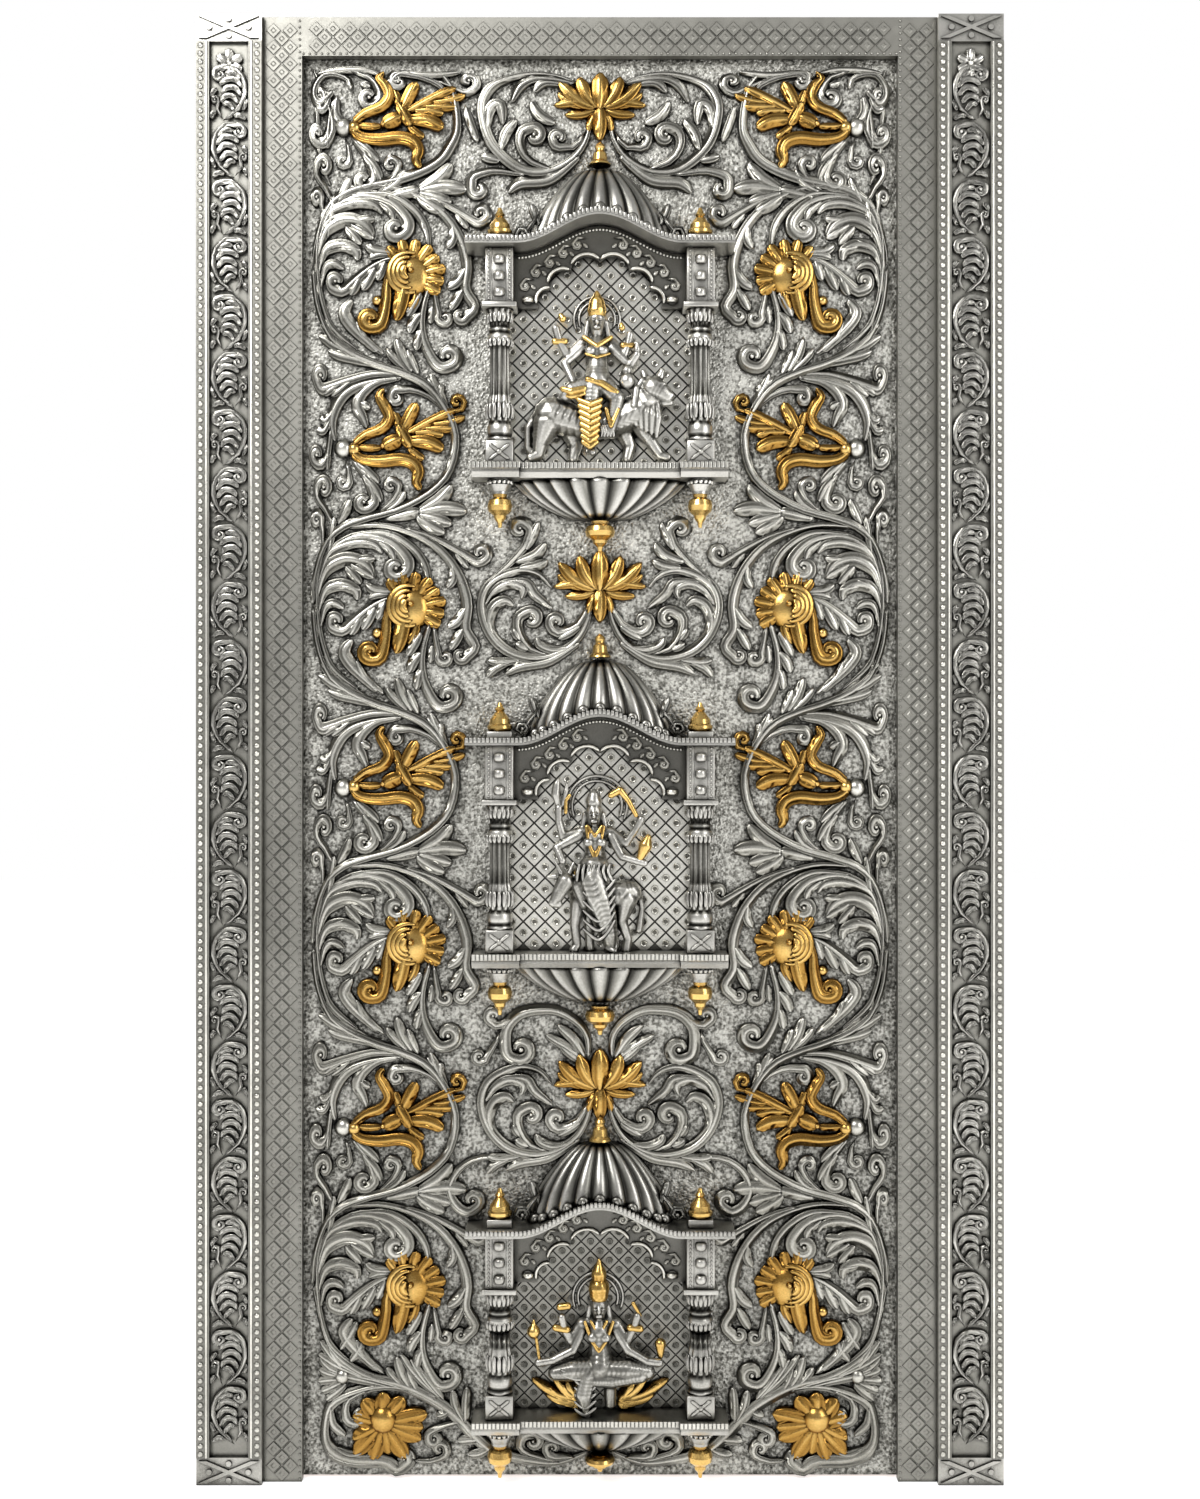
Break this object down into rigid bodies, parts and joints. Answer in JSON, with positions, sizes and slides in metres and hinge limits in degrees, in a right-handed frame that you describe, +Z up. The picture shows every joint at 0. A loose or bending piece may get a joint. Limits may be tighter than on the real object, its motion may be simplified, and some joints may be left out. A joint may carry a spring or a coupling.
{
  "type": "carved temple door",
  "caption": "Single-leaf carved temple door in its frame: timber clad in hammered white metal, with raised acanthus scrolls, gilt flowers and shrine niches that hold figures.",
  "frame": {"origin": "on the floor under the middle of the whole door, halfway between its foremost and rearmost points", "axes": "+X to the viewer's right, +Y from the carved front towards the back, +Z up"},
  "size_m": [1.171, 0.1365, 2.134],
  "materials": {
    "teak": "oiled teak boards",
    "silver": "chased white metal, bright crests and dark patina in the hollows",
    "pale_silver": "hammered white metal sheet, satin",
    "gilt": "gilded metal, worn satin",
    "steel": "plain steel"
  },
  "bodies": {
    "frame": {"jamb_core_left": "teak", "jamb_core_right": "teak", "head_core": "teak", "jamb_sheet_left": "silver", "jamb_sheet_right": "silver", "head_sheet": "silver", "pilaster_core_left": "teak", "pilaster_core_right": "teak", "pilaster_casing_left": "pale_silver", "pilaster_casing_right": "pale_silver", "pilaster_scroll_left": "silver", "pilaster_scroll_right": "silver", "pilaster_blocks": "pale_silver", "hinge_plates_frame": "steel", "hinge_pins": "steel"},
    "leaf": {"hinge_plates_leaf": "steel", "leaf_core": "teak", "ground_sheet": "pale_silver", "side_scroll_left": "silver", "side_scroll_right": "silver", "centre_scroll_lower": "silver", "centre_scroll_middle": "silver", "centre_scroll_upper": "silver", "base_scroll": "silver", "gilt_lilies": "gilt", "gilt_buds": "gilt", "gilt_sunflowers": "gilt", "gilt_lotuses": "gilt", "niche_panel_lower": "silver", "niche_panel_middle": "silver", "niche_panel_upper": "silver", "arch_lower": "silver", "arch_middle": "silver", "arch_upper": "silver", "canopy_lower": "silver", "canopy_middle": "silver", "canopy_upper": "silver", "column_left_lower": "silver", "column_left_middle": "silver", "column_left_upper": "silver", "column_right_lower": "silver", "column_right_middle": "silver", "column_right_upper": "silver", "shelf_lower": "silver", "shelf_middle": "silver", "shelf_upper": "silver", "bowl_lower": "silver", "bowl_middle": "silver", "bowl_upper": "silver", "finials_lower": "gilt", "finials_middle": "gilt", "finials_upper": "gilt", "figure_seated": "silver", "figure_bull_rider": "silver", "figure_lion_rider": "silver", "lotus_seat": "gilt", "bull": "silver", "lion": "silver"}
  },
  "joints": [
    {"name": "leaf_swing", "type": "hinge", "parent": "frame", "child": "leaf", "pos_m": [-0.4455, 0.06125, 1], "axis": [0, 0, 1], "range_deg": [0, 105]}
  ]
}
